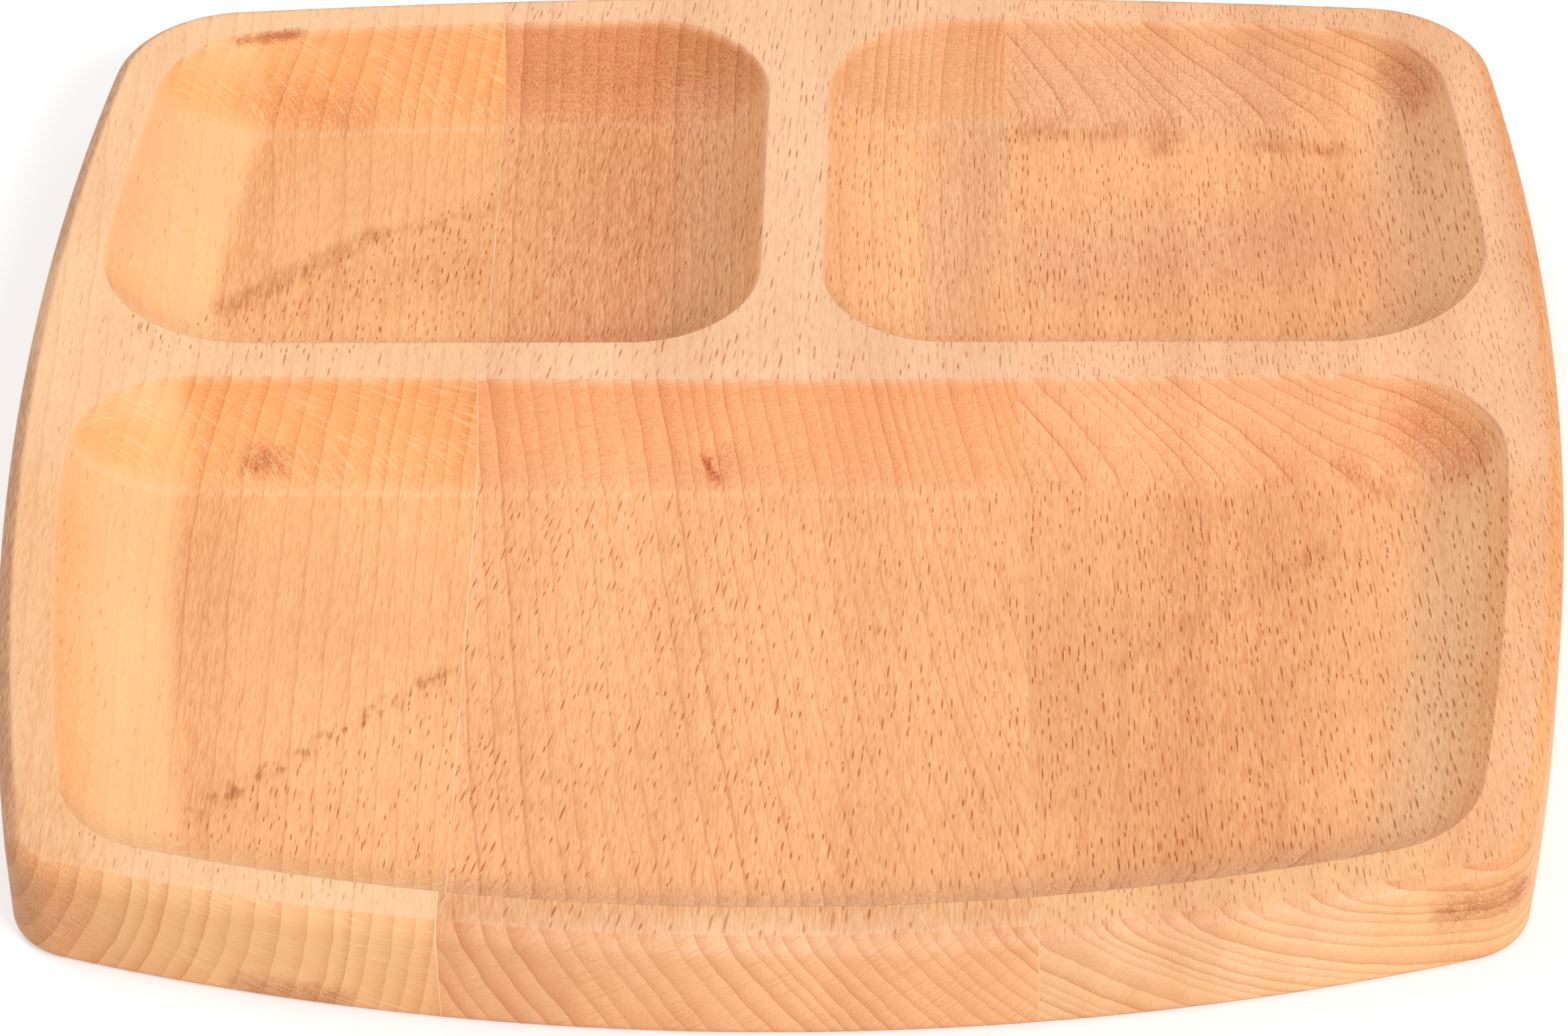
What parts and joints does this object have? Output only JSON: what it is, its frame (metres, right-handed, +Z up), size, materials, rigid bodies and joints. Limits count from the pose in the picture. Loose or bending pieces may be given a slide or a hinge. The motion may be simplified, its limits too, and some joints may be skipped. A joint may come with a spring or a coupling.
{
  "type": "divided compartment plate",
  "caption": "Solid beech serving plate of glued staves with a bowed outline, two small coved compartments at the back and a wide one in front.",
  "frame": {"origin": "under the middle of the plate, on the table, halfway across its width and its depth", "axes": "+Z up, out of the compartments; -Y to the front, the side of the wide compartment; +X to the right"},
  "size_m": [0.25, 0.252, 0.018],
  "materials": {
    "left_beech": "satin oiled beech",
    "middle_beech": "satin oiled beech",
    "right_beech": "satin oiled beech",
    "wood_glue": "cured wood glue"
  },
  "bodies": {
    "root": {"left_stave": "left_beech", "middle_stave": "middle_beech", "right_stave": "right_beech", "left_glue_line": "wood_glue", "right_glue_line": "wood_glue"}
  },
  "joints": []
}
